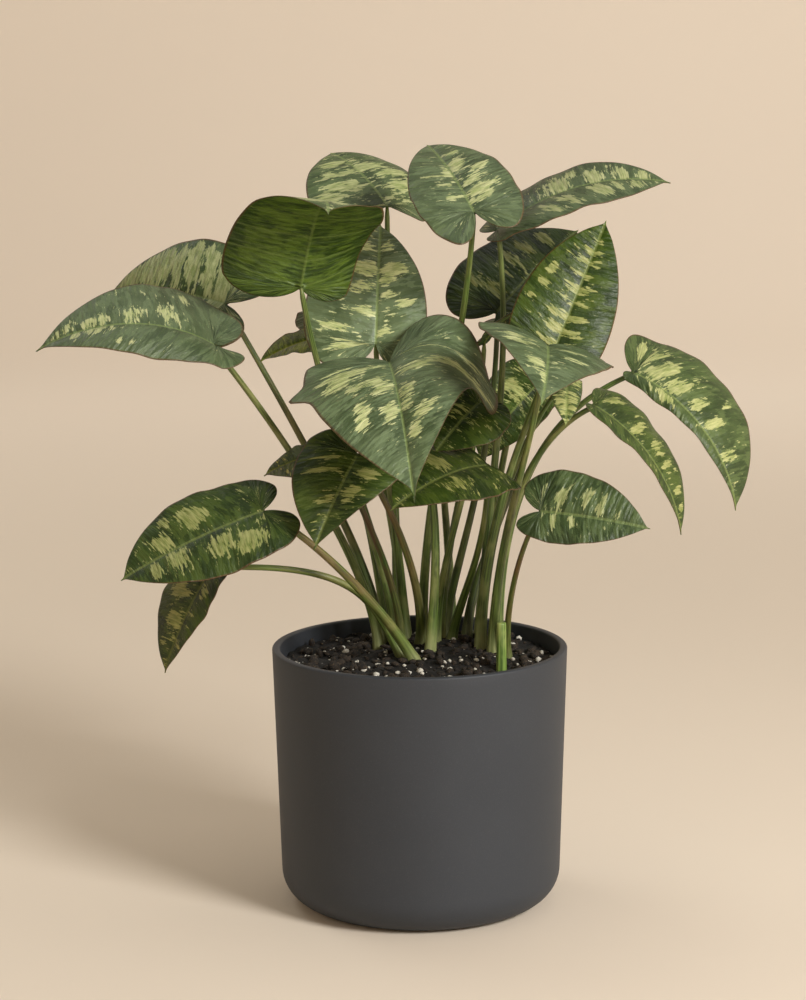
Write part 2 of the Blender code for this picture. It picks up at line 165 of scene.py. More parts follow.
# Each leaf: where the stalk meets the blade, the tip, the way the upper side faces, the half widths
# left and right of the midrib, the stalk's foot on the soil, and the handles that bend the stalk.
# Pairs of other values are for the left and right halves
LEAVES = [
    dict(name="far_left", joint=(-113, -35, 328), tip=(-204, -60, 330), faces=(-0.05, -0.5, 0.87),
         half=(26, 43), foot=(-24, 24), rise=(-3, 2, 45), drop=(40, 26, -56), arch=68, hang=0,
         lobe=(0.7, 1.0), curl=(50, 20), ears=(-22, 0), full=(0.1, -0.45)),
    dict(name="back_left", joint=(-110, 20, 346), tip=(-178, 60, 350), faces=(-0.1, -0.75, 0.65),
         half=(36, 42), foot=(-22, 34), rise=(-2, 0, 46), drop=(37, 8, -68), arch=35, lobe=1.2,
         ears=(0, 15)),
    dict(name="underside", joint=(-65, -20, 358), tip=(-47, -100, 405), faces=(0.1, 0.4, 0.9),
         half=(28, 46), foot=(-14, 28), rise=(-4, 0, 60), drop=(10, 34, -80), arch=104, lobe=(0.3, 0.45),
         hang=20, full=(0.0, -0.4), fold=-6, curl=-14, point=(0, 0.6, 0.22, 0.55)),
    dict(name="upright", joint=(-24, 12, 323), tip=(-21, 52, 387), faces=(0, -0.8, 0.6), half=(42, 29),
         foot=(-8, 40), rise=(-4, 0, 70), drop=(2, 8, -60)),
    dict(name="top_back", joint=(-17, 62, 399), tip=(-50, 110, 428), faces=(-0.1, -0.3, 0.95),
         half=(41, 44), foot=(-13, 58), rise=(0, 0, 90), drop=(0, 4, -90), arch=35, lobe=(0.3, 0.6),
         curl=(10, 45), fold=(4, 0), ears=(-15, 25)),
    dict(name="top", joint=(31, -30, 400), tip=(7, 40, 434), faces=(0, -0.6, 0.75), half=(30, 31),
         foot=(2, 50), rise=(0, 0, 90), drop=(-3, 54, -80), arch=25, lobe=(1.5, 1.2), full=(-0.15, 0.0)),
    dict(name="front", joint=(-16, -20, 316), tip=(-4, -120, 261), faces=(0, -0.5, 0.85), half=(63, 50),
         foot=(6, 6), rise=(8, 2, 85), drop=(24, 18, -55), arch=40, lobe=(1.35, 0.5), fold=(28, 4),
         curl=(60, 15), ears=(-14, 0), full=(-1.7, 0.0), point=(1, 0.29, 0.06, 0.2),
         droop=(0, 0.16, 0.22, 50)),
    dict(name="top_right", joint=(45, 0, 388), tip=(140, 10, 414), faces=(0, -0.15, 1.0), half=(29, 30),
         foot=(36, 24), rise=(2, 0, 90), drop=(10, 20, -90), arch=50, hang=0, lobe=0.4, twist=-25,
         full=(0, 0.25)),
    dict(name="dark_back", joint=(46, 32, 339), tip=(94, 75, 382), faces=(0, -0.7, 0.7), half=(38, 34),
         foot=(16, 56), rise=(-1, 0, 30), drop=(0, 10, -96), arch=20),
    dict(name="bright", joint=(75, -40, 325), tip=(105, -5, 391), faces=(0.1, -0.9, 0.4), half=(30, 26),
         foot=(35, 14), rise=(2, 0, 80), drop=(-14, 30, -50), arch=20, lobe=0.8, full=(0, -0.1)),
    dict(name="toward", joint=(70, -60, 329), tip=(64, -125, 308), faces=(0.3, -0.3, 0.9), half=(38, 40),
         foot=(42, 6), rise=(2, -2, 74), drop=(-6, 20, -60), full=-1.1),
    dict(name="narrow", joint=(98, -28, 292), tip=(146, -36, 223), faces=(0.6, -0.4, 0.5), half=(28, 11),
         foot=(44, 16), rise=(0, 0, 80), drop=(-33, 6, -15), arch=55, lobe=(0.4, 0.2)),
    dict(name="far_right", joint=(122, 0, 307), tip=(179, -15, 233), faces=(0.5, -0.6, 0.6), half=(43, 9),
         foot=(46, 27), rise=(0, 0, 80), drop=(-54, 14, -23), arch=70, hang=0, lobe=(0.9, 0.2),
         curl=(25, 60), full=(0.2, 0)),
    dict(name="small_right", joint=(67, -50, 236), tip=(124, -65, 229), faces=(0, -0.85, 0.5),
         half=(26, 18), foot=(51, 2), rise=(-3, -6, 28), drop=(-11, 18, -20), arch=20, thick=(2.2, 1.4)),
    dict(name="under_toward", joint=(83, -14, 306), tip=(81, -46, 284), faces=(0.2, -0.5, 0.8),
         half=(9, 11), foot=(37, 36), rise=(4, 0, 80), drop=(-20, 30, -30), lobe=0.6, thick=(2.4, 1.4)),
    dict(name="deep_right", joint=(71, 56, 294), tip=(37, 50, 251), faces=(-0.3, -0.6, 0.6),
         half=(22, 30), foot=(28, 46), rise=(4, 8, 50), drop=(-6, 6, -60)),
    dict(name="low_left", joint=(-34, -55, 269), tip=(-56, -85, 225), faces=(-0.1, -0.85, 0.5),
         half=(30, 30), foot=(0, 20), rise=(4, -6, 30), drop=(23, 26, -37), full=(-1.4, 0)),
    dict(name="under_front", joint=(34, -7, 291), tip=(10, -28, 267), faces=(0, -0.7, 0.6), half=(24, 24),
         foot=(10, 26), rise=(2, -2, 60), drop=(-4, 14, -60), arch=25, thick=(2.6, 1.5)),
    dict(name="olive_low", joint=(-47, -33, 268), tip=(-85, -38, 256), faces=(0, -0.3, 0.95),
         half=(30, 16), foot=(-10, 12), rise=(-2, 0, 40), drop=(20, 14, -45), arch=25, thick=(2.6, 1.5)),
    dict(name="olive_high", joint=(-52, 46, 325), tip=(-91, 38, 311), faces=(0, 0.4, 0.9), half=(24, 24),
         foot=(-20, 46), rise=(-4, 2, 60), drop=(10, 2, -70), thick=(2.6, 1.5)),
    dict(name="wide_left", joint=(-86, -60, 239), tip=(-161, -75, 205), faces=(-0.1, -0.7, 0.7),
         half=(31, 29), foot=(-4, -9), rise=(-13, -8, 26), drop=(33, 10, -19), arch=20, thick=(3.6, 1.7),
         full=(0.15, 0.3), lobe=(0.9, 0.8), ears=(0, 15)),
    dict(name="hang_left", joint=(-116, -35, 203), tip=(-143, -40, 146), faces=(-0.7, -0.6, 0.2),
         half=(15, 28), foot=(-11, 1), rise=(-16, -2, 30), drop=(86, 3, 3), arch=20),
    dict(name="low_centre", joint=(39, -18, 257), tip=(-14, -70, 242), faces=(0.1, -0.5, 0.85),
         half=(28, 32), foot=(19, 32), rise=(3, -6, 24), drop=(2, 22, -52), arch=40, full=0.1, lobe=0.1),
    dict(name="glossy", joint=(37, 6, 324), tip=(59, -19, 346), faces=(0, -0.3, 0.9), half=(10, 10),
         foot=(13, 40), rise=(2, 0, 70), drop=(-2, 24, -60), lobe=0.5, thick=(2.6, 1.5)),
    dict(name="behind_left", joint=(-40, 78, 338), tip=(-52, 128, 306), faces=(-0.2, 0.5, 0.85),
         half=(30, 28), foot=(-8, 68), rise=(-4, 8, 70), drop=(6, 4, -50), arch=40),
    dict(name="behind_right", joint=(66, 74, 327), tip=(86, 128, 293), faces=(0.2, 0.5, 0.85),
         half=(30, 30), foot=(36, 60), rise=(2, 10, 60), drop=(-6, 12, -50), arch=40),
    dict(name="behind_low", joint=(12, 76, 286), tip=(10, 124, 261), faces=(0, 0.5, 0.85), half=(28, 28),
         foot=(20, 70), rise=(0, 6, 40), drop=(0, -14, -30), arch=40),
]

# How a leaf is marked where its row below says nothing: cream is how much of it is patched at random,
# grey how far its green turns greyish, a painted sheen for room light reflected off the leaf,
# gold how yellow, and light how far the leaf is lightened or darkened, which is painted light and shade
PLAIN_LOOK = dict(cream=-0.01, painted_sheen=0.4, gold=0.0, light=1.0)
# The marks of each leaf. A patch on its left or right half lies along a side vein: its place along the
# outline, its share of the way out to the margin, and then its half width along the outline and its
# half length towards the margin. A ladder is a row of patches up both halves: the first and last
# place, how many, and their share of the way out
LOOKS = {
    "far_left": dict(cream=-0.04, painted_sheen=0.85, light=0.88,
        left=[(0.78, 0.2, 0.051, 0.31), (0.7, 0.75, 0.014, 0.15), (0.86, 0.3, 0.026, 0.33)],
        right=[(0.58, 0.3, 0.043, 0.24), (0.68, 0.2, 0.038, 0.24), (0.8, 0.2, 0.043, 0.22),
            (0.88, 0.4, 0.026, 0.31), (0.92, 0.35, 0.026, 0.33), (0.5, 0.75, 0.02, 0.2),
            (0.73, 0.88, 0.02, 0.13)]),
    "back_left": dict(cream=0.05, painted_sheen=0.3, light=0.62,
        left=[(0.44, 0.3, 0.023, 0.39)],
        right=[(0.86, 0.5, 0.065, 0.44), (0.77, 0.6, 0.043, 0.44), (0.69, 0.6, 0.032, 0.5),
            (0.63, 0.55, 0.017, 0.44), (0.57, 0.6, 0.017, 0.44), (0.51, 0.5, 0.017, 0.44),
            (0.44, 0.3, 0.023, 0.39)]),
    "underside": dict(cream=0.03, painted_sheen=0.5, light=0.95,
        left=[(0.85, 0.5, 0.043, 0.39)],
        right=[(0.86, 0.45, 0.043, 0.39), (0.78, 0.65, 0.029, 0.33)]),
    "upright": dict(cream=-0.02, painted_sheen=0.95, light=1.25,
        left=[(0.72, 0.3, 0.043, 0.29), (0.82, 0.5, 0.032, 0.33), (0.31, 0.45, 0.041, 0.33),
            (0.62, 0.25, 0.032, 0.24), (0.53, 0.2, 0.02, 0.22), (0.38, 0.35, 0.016, 0.35),
            (0.45, 0.55, 0.017, 0.28)],
        right=[(0.71, 0.42, 0.032, 0.37), (0.66, 0.22, 0.029, 0.22), (0.55, 0.6, 0.014, 0.2),
            (0.45, 0.16, 0.02, 0.2), (0.84, 0.4, 0.029, 0.33), (0.6, 0.3, 0.014, 0.25)]),
    "top_back": dict(cream=0.01, painted_sheen=0.55, light=0.88,
        left=[(0.77, 0.45, 0.029, 0.33), (0.67, 0.4, 0.029, 0.37), (0.58, 0.45, 0.032, 0.33),
            (0.51, 0.78, 0.043, 0.22)],
        right=[(0.68, 0.22, 0.035, 0.31), (0.6, 0.45, 0.026, 0.33), (0.52, 0.42, 0.026, 0.33)]),
    "top": dict(cream=-0.04, painted_sheen=0.8, light=0.97,
        left=[(0.67, 0.12, 0.052, 0.15), (0.64, 0.42, 0.016, 0.33), (0.58, 0.3, 0.016, 0.29),
            (0.5, 0.3, 0.014, 0.28)],
        right=[(0.7, 0.24, 0.046, 0.26), (0.57, 0.38, 0.038, 0.37), (0.51, 0.34, 0.029, 0.37),
            (0.46, 0.28, 0.026, 0.33), (0.63, 0.62, 0.02, 0.26), (0.8, 0.4, 0.02, 0.28)]),
    "front": dict(cream=-0.04, painted_sheen=0.9, light=1.12,
        left=[(0.61, 0.25, 0.038, 0.29), (0.58, 0.56, 0.035, 0.29), (0.8, 0.4, 0.026, 0.26),
            (0.72, 0.1, 0.058, 0.11), (0.44, 0.35, 0.017, 0.33), (0.48, 0.78, 0.035, 0.24),
            (0.86, 0.25, 0.029, 0.2), (0.57, 0.88, 0.043, 0.16), (0.66, 0.9, 0.026, 0.14)],
        right=[(0.52, 0.4, 0.023, 0.4), (0.56, 0.68, 0.023, 0.2), (0.61, 0.36, 0.026, 0.33),
            (0.46, 0.6, 0.014, 0.28), (0.71, 0.55, 0.038, 0.15), (0.75, 0.68, 0.029, 0.13),
            (0.77, 0.2, 0.058, 0.19), (0.66, 0.15, 0.029, 0.18)]),
    "top_right": dict(painted_sheen=0.7, light=0.8,
        left=[(0.59, 0.3, 0.038, 0.33), (0.7, 0.26, 0.029, 0.37), (0.8, 0.3, 0.026, 0.4),
            (0.64, 0.62, 0.017, 0.24), (0.88, 0.4, 0.023, 0.37)],
        right=[(0.56, 0.5, 0.026, 0.33), (0.68, 0.45, 0.032, 0.37), (0.84, 0.5, 0.029, 0.37),
            (0.76, 0.4, 0.02, 0.33), (0.49, 0.6, 0.02, 0.31)]),
    "dark_back": dict(cream=-0.04, painted_sheen=0.0, gold=0.35, light=0.45,
        left=[(0.45, 0.6, 0.02, 0.22), (0.47, 0.28, 0.02, 0.22), (0.56, 0.45, 0.017, 0.29),
            (0.69, 0.5, 0.029, 0.24), (0.8, 0.45, 0.029, 0.33), (0.62, 0.5, 0.02, 0.29)]),
    "bright": dict(cream=-0.04, painted_sheen=0.0, gold=0.35, light=0.8, ladder=(0.42, 0.88, 9, 0.17),
        left=[(0.66, 0.74, 0.026, 0.13), (0.6, 0.7, 0.02, 0.15), (0.52, 0.8, 0.014, 0.13)]),
    "toward": dict(cream=-0.04, painted_sheen=0.85,
        left=[(0.78, 0.26, 0.032, 0.31), (0.7, 0.5, 0.02, 0.33), (0.62, 0.4, 0.017, 0.28)],
        right=[(0.6, 0.5, 0.035, 0.37), (0.67, 0.6, 0.023, 0.33), (0.8, 0.32, 0.035, 0.31),
            (0.88, 0.12, 0.038, 0.18)]),
    "narrow": dict(painted_sheen=0.25, gold=0.35, light=0.85,
        left=[(0.4, 0.45, 0.03, 0.3), (0.55, 0.3, 0.02, 0.3), (0.63, 0.5, 0.02, 0.3),
            (0.72, 0.35, 0.018, 0.3), (0.82, 0.45, 0.018, 0.3), (0.9, 0.45, 0.016, 0.3)]),
    "far_right": dict(cream=-0.03, painted_sheen=0.45, gold=0.2, light=0.95,
        left=[(0.22, 0.6, 0.029, 0.33), (0.34, 0.4, 0.032, 0.33), (0.42, 0.3, 0.029, 0.29),
            (0.5, 0.3, 0.032, 0.31), (0.58, 0.24, 0.026, 0.26), (0.66, 0.24, 0.023, 0.26),
            (0.78, 0.3, 0.029, 0.31), (0.61, 0.7, 0.017, 0.18)],
        right=[(0.5, 0.4, 0.029, 0.33)]),
    "small_right": dict(cream=-0.04, painted_sheen=0.5, light=0.85,
        left=[(0.48, 0.35, 0.032, 0.31), (0.34, 0.5, 0.038, 0.24), (0.61, 0.5, 0.026, 0.31),
            (0.69, 0.3, 0.026, 0.33), (0.79, 0.3, 0.02, 0.31)],
        right=[(0.56, 0.3, 0.029, 0.31), (0.47, 0.3, 0.026, 0.26), (0.66, 0.3, 0.02, 0.26)]),
    "under_toward": dict(cream=0.08, gold=0.3),
    "deep_right": dict(cream=0.03, painted_sheen=0.2, gold=0.3, light=1.25),
    "low_left": dict(cream=-0.02, painted_sheen=0.15, gold=0.4, light=0.84,
        left=[(0.6, 0.4, 0.038, 0.29), (0.71, 0.3, 0.038, 0.24)],
        right=[(0.76, 0.3, 0.035, 0.24), (0.6, 0.5, 0.013, 0.39), (0.52, 0.5, 0.013, 0.39)]),
    "under_front": dict(cream=0.01, painted_sheen=0.1, gold=0.3),
    "olive_low": dict(cream=0.0, painted_sheen=0.1, gold=1.0, light=0.95),
    "olive_high": dict(cream=0.0, painted_sheen=0.1, gold=1.0, light=1.5),
    "wide_left": dict(painted_sheen=0.15, gold=0.25, light=0.72,
        left=[(0.52, 0.4, 0.043, 0.26), (0.42, 0.58, 0.049, 0.22), (0.7, 0.32, 0.049, 0.33),
            (0.8, 0.5, 0.026, 0.33)],
        right=[(0.55, 0.48, 0.065, 0.26), (0.72, 0.32, 0.043, 0.29), (0.65, 0.76, 0.02, 0.15)]),
    "hang_left": dict(cream=0.01, painted_sheen=0.1, gold=0.7, light=0.55,
        left=[(0.5, 0.4, 0.038, 0.29)],
        right=[(0.56, 0.4, 0.038, 0.29), (0.7, 0.3, 0.038, 0.29)]),
    "low_centre": dict(painted_sheen=0.1, gold=0.55, light=0.68,
        left=[(0.62, 0.4, 0.029, 0.24)],
        right=[(0.6, 0.45, 0.035, 0.29)]),
    "glossy": dict(cream=-0.17, painted_sheen=0.0, gold=0.2, light=1.2),
}
# How brown or red each stalk turns towards its blade, and its lightness
STALK_LOOKS = {
    "wide_left": (0.7, 0.95), "hang_left": (0.3, 1.0), "low_left": (0.8, 0.7), "olive_low": (0.9, 0.6),
    "small_right": (0.9, 0.9), "far_left": (0.3, 0.95), "back_left": (0.5, 0.8), "front": (0.1, 1.1),
    "dark_back": (0.3, 0.5), "deep_right": (0.3, 0.5), "low_centre": (0.2, 0.9), "top_right": (0.1, 0.8),
    "bright": (0.1, 0.9), "toward": (0.3, 1.0), "narrow": (0.3, 1.0), "far_right": (0.1, 1.0),
}

# How much a patch adds to the call for cream, and how much the margin takes off it
PATCH_CALL = 0.17
MARGIN_CALL = 0.1
LADDER_WIDTH = 0.017
LADDER_LENGTH = 0.34

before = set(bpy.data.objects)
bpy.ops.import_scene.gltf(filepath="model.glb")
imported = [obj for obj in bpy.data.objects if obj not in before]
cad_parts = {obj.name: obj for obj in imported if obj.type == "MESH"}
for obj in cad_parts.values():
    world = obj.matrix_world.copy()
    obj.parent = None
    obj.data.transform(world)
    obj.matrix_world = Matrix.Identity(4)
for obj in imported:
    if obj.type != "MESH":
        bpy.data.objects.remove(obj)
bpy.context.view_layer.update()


def linear(red, green, blue):
    """A colour given as 0 to 255 on a screen, in the linear values that shaders take."""
    return tuple(((v / 255 + 0.055) / 1.055) ** 2.4 if v > 10 else v / 255 / 12.92
                 for v in (red, green, blue))


def unit(vector):
    vector = np.asarray(vector, float)
    return vector / np.linalg.norm(vector)


def placed(name, data):
    """A new object in the scene."""
    item = bpy.data.objects.new(name, data)
    bpy.context.scene.collection.objects.link(item)
    return item


def add_piece(name, points, faces, material, node=None, slot=None):
    """A smooth mesh piece that rides on the root body, in place of its CAD node where it has one."""
    mesh = bpy.data.meshes.new(name)
    mesh.from_pydata((np.asarray(points) * MM).tolist(), [], faces)
    mesh.materials.append(material)
    mesh.shade_smooth()
    piece = placed(name, mesh)
    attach(piece, "root")
    if node:
        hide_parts(node)
    return piece


def add_values(piece, name, values):
    """A vector for each point of a piece, which its material reads."""
    layer = piece.data.attributes.new(name, "FLOAT_VECTOR", "POINT")
    layer.data.foreach_set("vector", np.asarray(values, np.float32).ravel())


class Nodes:
    """A material's nodes, with short calls for the kinds that are used here."""

    def __init__(self, name):
        self.material = bpy.data.materials.new(name)
        self.material.use_nodes = True
        self.tree = self.material.node_tree
        self.shader = self.tree.nodes["Principled BSDF"]

    def plug(self, socket, value):
        """Puts another node's output, a screen colour or a number into an input."""
        if isinstance(value, bpy.types.NodeSocket):
            self.tree.links.new(value, socket)
        elif isinstance(value, tuple) and socket.type == "RGBA":
            socket.default_value = (*linear(*value), 1.0)
        else:
            socket.default_value = value

    def put(self, name, value):
        """Sets one of the main shader's inputs."""
        self.plug(self.shader.inputs[name], value)

    def add(self, kind, inputs=None, **settings):
        """A new node, with values for its inputs by their names or numbers."""
        node = self.tree.nodes.new("ShaderNode" + kind)
        for key, value in settings.items():
            setattr(node, key, value)
        for key, value in (inputs or {}).items():
            self.plug(node.inputs[key], value)
        return node

    def place(self):
        """Where on the piece a point lies, in metres."""
        return self.add("TexCoord").outputs["Object"]

    def split(self, vector):
        return self.add("SeparateXYZ", {0: vector}).outputs

    def values(self, name):
        """The three numbers of a piece's own point values, after the vector of them."""
        vector = self.add("Attribute", attribute_name=name).outputs["Vector"]
        return vector, *self.split(vector)

    def math(self, operation, *values):
        return self.add("Math", dict(enumerate(values)), operation=operation).outputs[0]

    def total(self, *values):
        result = values[0]
        for value in values[1:]:
            result = self.math("ADD", result, value)
        return result

    def times(self, value, factor):
        return self.math("MULTIPLY", value, factor)

    def ridge(self, value, pitch):
        """0 on lines that lie a pitch apart, and rising to 0.5 halfway between them."""
        part = self.math("FRACT", self.math("DIVIDE", value, pitch))
        return self.math("ABSOLUTE", self.math("SUBTRACT", part, 0.5))

    def step(self, value, low, high):
        """0 up to low and 1 from high on, softly, or the other way round where low is the larger."""
        inputs = {"Value": value, "From Min": low, "From Max": high}
        return self.add("MapRange", inputs, interpolation_type="SMOOTHSTEP").outputs["Result"]

    def mix(self, share, first, second, blend="MIX"):
        """Two colours blended by a share. The node takes colours in its inputs 6 and 7."""
        return self.add("Mix", {0: share, 6: first, 7: second}, data_type="RGBA", blend_type=blend).outputs[2]

    def shaded(self, colour, light):
        """A colour made lighter or darker by a factor."""
        return self.add("VectorMath", {0: colour, "Scale": light}, operation="SCALE").outputs[0]

    def scaled(self, vector, *factors):
        return self.add("VectorMath", {0: vector, 1: factors}, operation="MULTIPLY").outputs[0]

    def noise(self, vector, scale=1.0, detail=3.0, roughness=0.55):
        inputs = {"Vector": vector, "Scale": scale, "Detail": detail, "Roughness": roughness}
        return self.add("TexNoise", inputs).outputs[0]

    def bump(self, height, strength, distance):
        inputs = {"Height": height, "Strength": strength, "Distance": distance}
        self.put("Normal", self.add("Bump", inputs).outputs[0])


def leaf_upper(n, vein, ragged, streaks, field, painted_sheen):
    """The upper side's green in two tones with cream patches and flecks, and a painted sheen over both."""
    flecks = n.noise(n.scaled(vein, 0.60, 0.26, 1.0), detail=1.0)
    flecks = n.times(n.step(flecks, 0.66, 0.69), n.step(field, 0.46, 0.54))
    pale = n.math("MAXIMUM", n.step(field, 0.556, 0.584), n.times(flecks, 0.8))
    blotch = n.noise(n.scaled(vein, 0.20, 0.065, 1.7), detail=4.0, roughness=0.6)
    middle = n.step(n.total(n.times(blotch, 0.8), n.times(field, 0.2)), 0.49, 0.53)
    cloud = n.step(n.noise(n.scaled(vein, 0.05, 0.05, 2.0), detail=3.0), 0.35, 0.65)
    green = n.mix(cloud, (38, 62, 12), (62, 90, 22))
    green = n.mix(n.times(middle, 0.55), green, (94, 120, 42))
    # Painted sheen: greyer greens that stand in for room light reflected off the glossy leaf
    sheen_green = n.mix(cloud, (82, 99, 66), (105, 121, 86))
    sheen_green = n.mix(n.times(middle, 0.6), sheen_green, (127, 145, 108))
    # The leaf's sheen value mixes the painted sheen into its green
    base = n.mix(painted_sheen, green, sheen_green)
    base = n.mix(n.times(n.step(streaks, 0.48, 0.62), 0.12), base, (116, 140, 88))
    tone = n.step(n.total(n.times(streaks, 0.5), n.times(ragged, 0.5)), 0.40, 0.62)
    warm = n.mix(tone, (146, 164, 92), (200, 209, 144))
    # Painted highlight: a paler, cooler cream for the sheen on the patches
    sheen_cream = n.mix(tone, (176, 190, 122), (228, 230, 174))
    return n.mix(n.times(pale, 0.94), base, n.mix(painted_sheen, warm, sheen_cream))


def leaf_lower(n, along, streaks, field):
    """The underside's plain green, streaked, with paler side veins."""
    lower = n.mix(n.step(field, 0.44, 0.62), (48, 72, 18), (104, 130, 44))
    lower = n.mix(n.times(n.step(streaks, 0.45, 0.60), 0.35), lower, (88, 116, 40))
    side_vein = n.step(n.ridge(along, 13.0), 0.07, 0.0)
    return n.mix(n.times(side_vein, 0.45), lower, (124, 146, 70))


def leaf_material():
    """Green patched with cream above and plain green below, with a pale midrib and a brown margin."""
    n = Nodes("homalomena_leaf")
    vein, along, across, _ = n.values("vein")
    _, camo, share, under = n.values("look")
    # Each leaf's painted sheen, its own yellowing, and its light factor, which is painted light and shade
    _, painted_sheen, gold, light = n.values("gold_and_painted_light")
    broad = n.noise(n.scaled(vein, 0.10, 0.045, 1.0), detail=2.0, roughness=0.5)
    ragged = n.noise(n.scaled(vein, 0.46, 0.12, 1.0), detail=4.0, roughness=0.65)
    streaks = n.noise(n.scaled(vein, 1.3, 0.12, 1.0), detail=3.0)
    field = n.total(n.times(broad, 0.30), n.times(ragged, 0.48), n.times(streaks, 0.22), camo)
    midrib = n.step(n.math("ABSOLUTE", across), 1.2, 0.5)
    upper = leaf_upper(n, vein, ragged, streaks, field, painted_sheen)
    upper = n.mix(n.times(midrib, 0.55), upper, (150, 170, 104))
    lower = leaf_lower(n, along, streaks, field)
    lower = n.mix(n.times(midrib, 0.5), lower, (124, 144, 70))
    colour = n.mix(under, upper, lower)
    colour = n.mix(gold, colour, n.scaled(colour, 1.22, 1.0, 0.55))
    margin = n.step(share, 0.962, 0.996)
    # Painted light and shade: the leaf's colours scaled up or down by its light factor
    colour = n.mix(n.times(margin, 0.7), n.shaded(colour, light), (112, 74, 50))
    n.put("Base Color", colour)

    grain = n.noise(n.scaled(vein, 1.4, 1.1, 1.0), detail=2.0)
    puckers = n.noise(n.scaled(vein, 0.28, 0.09, 1.0), detail=2.0)
    fine_veins = n.step(n.ridge(along, 3.1), 0.0, 0.4)
    n.bump(n.total(n.times(fine_veins, 0.14), n.times(grain, 0.22), n.times(puckers, 1.6)), 0.75, 0.0014)
    n.put("Roughness", n.total(n.times(grain, 0.22), 0.30))
    n.put("Specular IOR Level", 0.42)
    n.put("Coat Weight", 0.08)
    n.put("Coat Roughness", 0.28)
    through = n.add("BsdfTranslucent", {"Color": n.mix(0.8, colour, (196, 224, 70), "MULTIPLY")})
    both = n.add("MixShader", {0: 0.30, 1: n.shader.outputs[0], 2: through.outputs[0]})
    n.plug(n.tree.nodes["Material Output"].inputs["Surface"], both.outputs[0])
    return n.material


def stalk_material():
    """Green stalks, streaked lengthwise, paler at the foot and some of them brown or red higher up."""
    n = Nodes("homalomena_stalk")
    vein, _, along, _ = n.values("vein")
    _, height, brown, light = n.values("look")
    fine = n.noise(n.scaled(vein, 1.0, 0.02, 1.0), scale=1.6, detail=3.0)
    blotch = n.noise(n.scaled(vein, 0.15, 0.05, 1.0), detail=3.0)
    green = n.mix(n.step(fine, 0.35, 0.65), (54, 76, 26), (104, 128, 58))
    green = n.mix(n.step(blotch, 0.48, 0.68), green, (124, 136, 76))
    foot = n.mix(n.step(fine, 0.3, 0.7), (112, 118, 70), (160, 162, 116))
    colour = n.mix(n.step(height, 0.16, 0.0), green, foot)
    rust = n.mix(n.step(fine, 0.3, 0.7), (92, 62, 40), (126, 98, 62))
    colour = n.mix(n.times(brown, n.step(blotch, 0.25, 0.6)), colour, rust)
    n.put("Base Color", n.shaded(colour, light))
    n.put("Roughness", n.total(n.times(fine, 0.25), 0.35))
    n.bump(fine, 0.4, 0.0005)
    return n.material


def pot_material():
    """Matt charcoal with a very fine grain and faint lighter clouds."""
    n = Nodes("charcoal_pot")
    place = n.place()
    clouds = n.noise(place, scale=9.0, detail=4.0)
    grain = n.noise(place, scale=1400.0, detail=2.0)
    colour = n.mix(n.step(clouds, 0.3, 0.7), (47, 51, 57), (52, 56, 62))
    colour = n.mix(n.times(n.step(grain, 0.5, 0.8), 0.25), colour, (74, 78, 84))
    n.put("Base Color", colour)
    n.put("Roughness", n.total(n.times(clouds, 0.12), 0.52))
    n.bump(grain, 0.12, 0.0003)
    n.put("Specular IOR Level", 0.4)
    return n.material


def crumb_material(name):
    """Soil, bark or perlite: three tones in clumps, with a rough grain."""
    dark, middle, pale, scale, roughness = EARTH[name]
    n = Nodes(name)
    place = n.place()
    clumps = n.noise(place, scale=scale, detail=5.0, roughness=0.65)
    grain = n.noise(place, scale=scale * 7, detail=3.0)
    colour = n.mix(n.step(clumps, 0.38, 0.60), dark, middle)
    colour = n.mix(n.step(grain, 0.56, 0.74), colour, pale)
    n.put("Base Color", colour)
    n.put("Roughness", roughness)
    n.bump(grain, 0.6, 0.0006)
    return n.material


def side_value(leaf, key, side):
    """A leaf's value for its left (0) or right (1) half, where the halves may differ."""
    value = leaf[key]
    return value[side] if isinstance(value, tuple) else value


def outline_length(leaf, side, edge_y):
    """Where points of the outline lie along the blade, with this half's own lobe and fullness."""
    ahead = np.maximum(edge_y, 0) ** (1 - side_value(leaf, "full", side))
    return np.where(edge_y < 0, edge_y * side_value(leaf, "lobe", side), ahead)


def outline_width(leaf, side, edge_x, edge_y):
    """The shares of the half width, larger where this half's margin runs out to a point."""
    pointed_side, centre, spread, out = leaf["point"]
    return edge_x * (1 + (pointed_side == side) * out * np.exp(-((edge_y - centre) / spread) ** 2))


def blade_axes(leaf):
    """The blade's length, and its directions along the midrib, across it and out of its upper side."""
    chord = np.subtract(leaf["tip"], leaf["joint"]).astype(float)
    along = unit(chord)
    faces = np.array(leaf["faces"], float)
    up = unit(faces - faces.dot(along) * along)
    return np.linalg.norm(chord), along, np.cross(along, up), up


